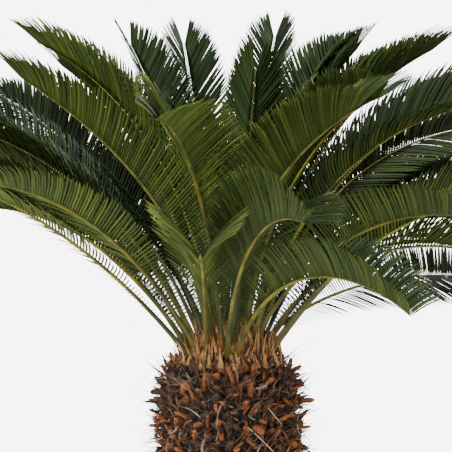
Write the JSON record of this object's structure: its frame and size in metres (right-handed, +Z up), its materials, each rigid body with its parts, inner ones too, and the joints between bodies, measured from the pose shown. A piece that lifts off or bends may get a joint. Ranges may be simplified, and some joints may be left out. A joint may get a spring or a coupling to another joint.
{
  "type": "sago palm",
  "caption": "Sago palm: short stout trunk clad in shaggy old leaf bases under a dense spreading crown of stiff, arching feather fronds",
  "frame": {"origin": "middle of the flat cut under the trunk, at ground level", "axes": "+Z up along the trunk; -Y towards the side the plant is seen from; +X to the right seen from that side"},
  "size_m": [1.9474, 2.066, 1.6823],
  "materials": {
    "trunk": "rough dark brown fibrous leaf bases with rust-orange and grey-tan scales",
    "fronds": "stiff leathery leaflets, dark glossy green above and olive green beneath, on yellow-olive ribs"
  },
  "bodies": {
    "root": {"trunk": "trunk", "frond_back_centre_left": "fronds", "frond_back_centre_right": "fronds", "frond_back_left_tall": "fronds", "frond_back_low_1": "fronds", "frond_back_low_2": "fronds", "frond_back_low_3": "fronds", "frond_back_low_4": "fronds", "frond_back_middle_1": "fronds", "frond_back_middle_2": "fronds", "frond_back_middle_3": "fronds", "frond_back_middle_4": "fronds", "frond_back_middle_5": "fronds", "frond_back_middle_6": "fronds", "frond_back_middle_7": "fronds", "frond_back_middle_8": "fronds", "frond_back_middle_9": "fronds", "frond_back_right_edge_on": "fronds", "frond_back_right_tall": "fronds", "frond_back_upper_1": "fronds", "frond_back_upper_2": "fronds", "frond_back_upper_3": "fronds", "frond_back_upper_4": "fronds", "frond_back_upper_5": "fronds", "frond_back_upper_6": "fronds", "frond_back_upper_7": "fronds", "frond_back_upper_8": "fronds", "frond_front_centre": "fronds", "frond_front_facing": "fronds", "frond_front_fold": "fronds", "frond_front_left_high": "fronds", "frond_front_right_arch": "fronds", "frond_front_right_high": "fronds", "frond_heart_1": "fronds", "frond_heart_2": "fronds", "frond_heart_3": "fronds", "frond_left_back_high": "fronds", "frond_left_back_mid": "fronds", "frond_left_back_shade": "fronds", "frond_left_front_high": "fronds", "frond_left_low_inner": "fronds", "frond_left_low_outer": "fronds", "frond_left_mid_lower": "fronds", "frond_left_mid_upper": "fronds", "frond_left_shade_1": "fronds", "frond_left_shade_2": "fronds", "frond_left_shade_3": "fronds", "frond_right_back_high": "fronds", "frond_right_back_low": "fronds", "frond_right_back_slim": "fronds", "frond_right_front_shade": "fronds", "frond_right_low_back": "fronds", "frond_right_low_far": "fronds", "frond_right_low_mid": "fronds", "frond_right_low_upper": "fronds", "frond_right_mid_lower": "fronds", "frond_right_mid_upper": "fronds", "frond_right_shade_1": "fronds", "frond_right_shade_2": "fronds", "frond_right_shade_3": "fronds"}
  },
  "joints": []
}
